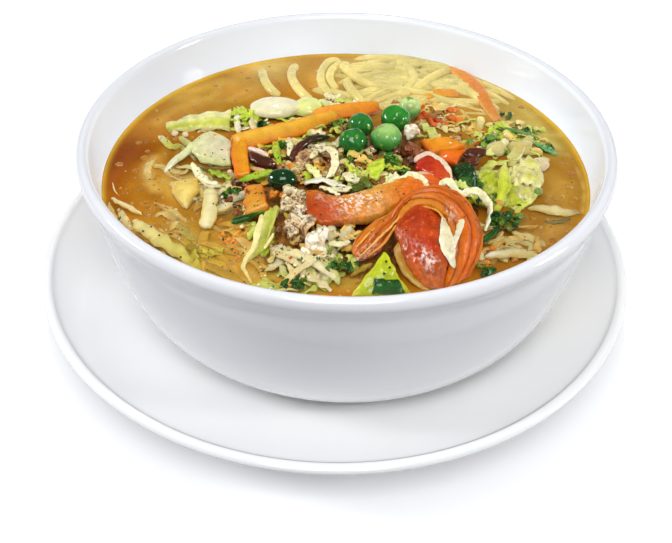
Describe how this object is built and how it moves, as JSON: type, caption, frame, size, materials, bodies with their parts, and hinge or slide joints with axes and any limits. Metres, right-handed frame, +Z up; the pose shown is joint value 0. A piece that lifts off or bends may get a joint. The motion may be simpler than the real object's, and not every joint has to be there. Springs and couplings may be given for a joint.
{
  "type": "bowl of noodle soup",
  "caption": "Round white bowl on a saucer, filled with noodle and vegetable soup: golden broth with tomato, carrot, peas, cabbage and egg on top.",
  "frame": {"origin": "centre of the saucer's foot, on the table", "axes": "+Z up; +Y away from the side the picture shows; +X to the right of that view"},
  "size_m": [0.2128, 0.2128, 0.0739],
  "materials": {
    "porcelain": "glossy white glaze",
    "broth": "wet, clear golden broth",
    "noodle": "wet noodle",
    "pea": "wet pea skin",
    "tomato": "wet tomato",
    "onion": "wet, translucent onion",
    "carrot": "cooked carrot",
    "egg": "moist curd",
    "mushroom": "dark cooked mushroom",
    "cabbage": "cooked leaf",
    "herb": "wet chopped greens"
  },
  "bodies": {
    "root": {"saucer": "porcelain", "bowl": "porcelain", "broth": "broth", "noodle_heap": "noodle", "noodles_far": "noodle", "pea_1": "pea", "pea_2": "pea", "pea_3": "pea", "pea_4": "pea", "pea_5": "pea", "pea_dark": "pea", "tomato_wedge": "tomato", "tomato_slice": "tomato", "tomato_back": "tomato", "ribbon_left": "onion", "ribbon_right": "onion", "onion_oval": "onion", "onion_half": "onion", "onion_strip_left": "onion", "onion_strip_middle": "onion", "onion_amber": "onion", "onion_rib_right": "onion", "onion_spindle": "onion", "onion_stub_left": "onion", "onion_pale_1": "onion", "onion_pale_2": "onion", "onion_pale_3": "onion", "carrot_strip_long": "carrot", "carrot_strip_cross": "carrot", "carrot_chunk": "carrot", "carrot_spiced": "carrot", "carrot_far_long": "carrot", "carrot_far_short": "carrot", "egg_1": "egg", "egg_2": "egg", "egg_3": "egg", "egg_4": "egg", "egg_5": "egg", "egg_6": "egg", "mushroom_strip": "mushroom", "mushroom_left": "mushroom", "mushroom_right": "mushroom", "meat_brown": "mushroom", "cabbage_slab": "cabbage", "cabbage_edge_left": "cabbage", "cabbage_wedge_front": "cabbage", "cabbage_curl": "cabbage", "cabbage_pointed": "cabbage", "cabbage_right": "cabbage", "cabbage_pale_right": "cabbage", "stem_green": "herb", "leaf_dark_right": "herb", "leaf_cluster_right": "herb"}
  },
  "joints": []
}
